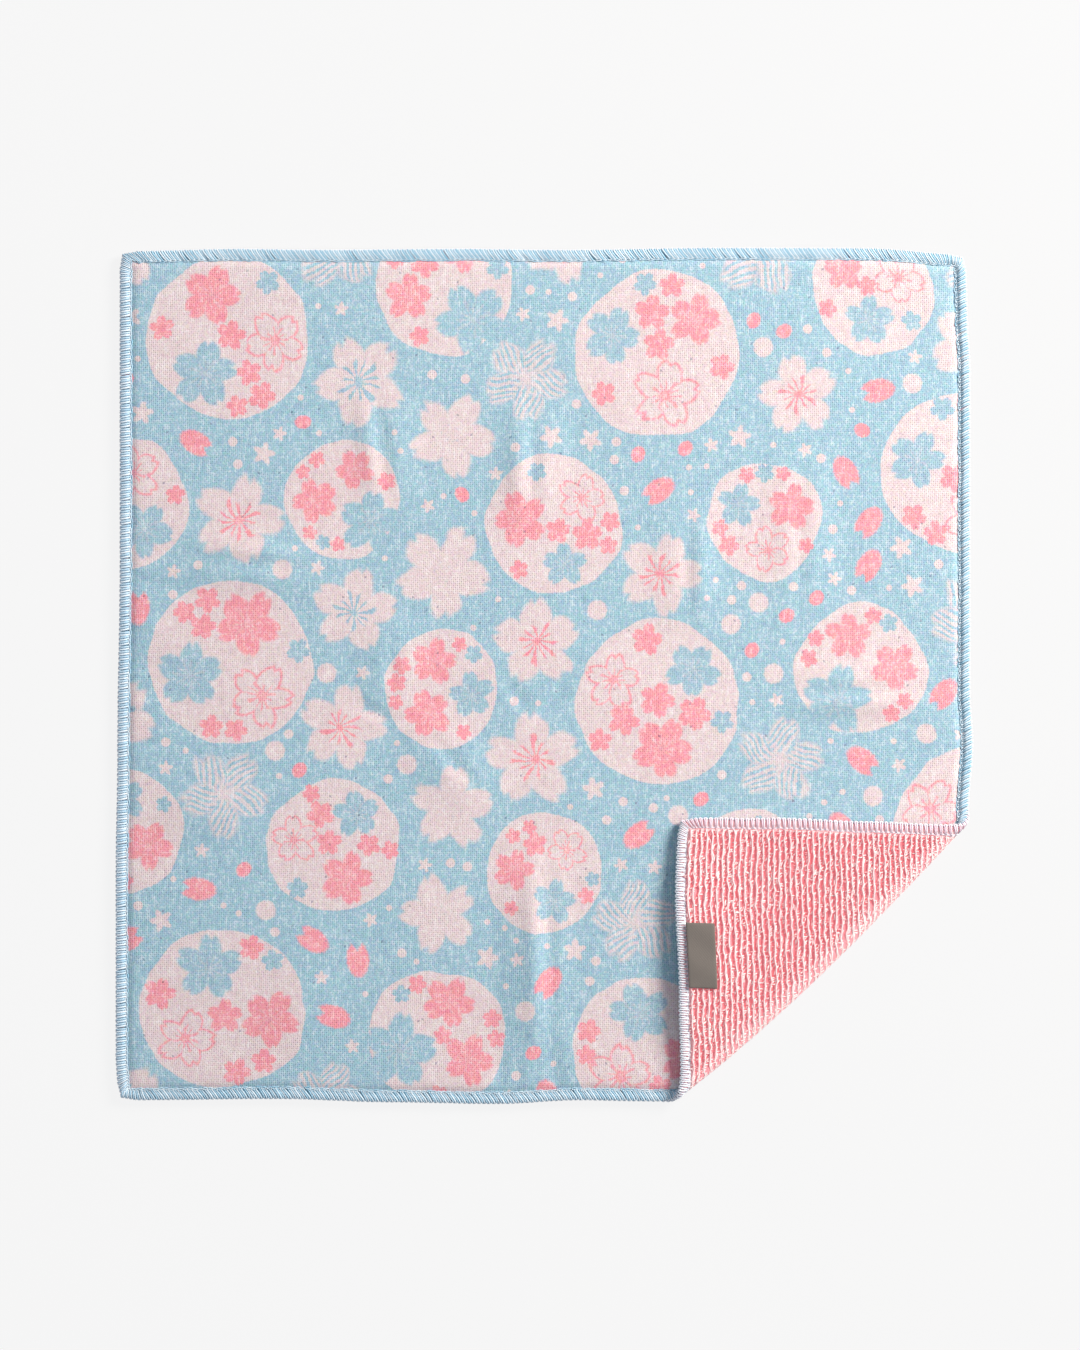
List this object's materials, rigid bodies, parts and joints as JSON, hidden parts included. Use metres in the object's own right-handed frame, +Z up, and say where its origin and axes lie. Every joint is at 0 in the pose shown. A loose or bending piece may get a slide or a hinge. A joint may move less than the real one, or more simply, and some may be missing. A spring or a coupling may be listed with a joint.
{
  "type": "folded handkerchief",
  "caption": "Square towel handkerchief of printed gauze backed with looped pile, overlocked all round, lying flat with its lower right corner turned over onto the face.",
  "frame": {"origin": "middle of the flat underside that lies on the surface, at the middle of the outline's box", "axes": "+Z up out of the cloth's face, +X to the right and +Y to the back as the face is seen from above"},
  "size_m": [0.2518, 0.2516, 0.0091],
  "materials": {
    "gauze": "plain-weave cotton gauze printed with blossoms and rounds in white and coral pink on sky blue, matt",
    "pile": "looped cotton pile in ribs, pink, soft and matt",
    "edging": "pale blue overlock thread, slightly lustrous",
    "tag": "plain grey-brown woven tape, bare"
  },
  "bodies": {
    "root": {"cloth": "gauze", "edging_left": "edging", "edging_top": "edging", "edging_right": "edging", "edging_bottom": "edging", "label": "tag"}
  },
  "joints": []
}
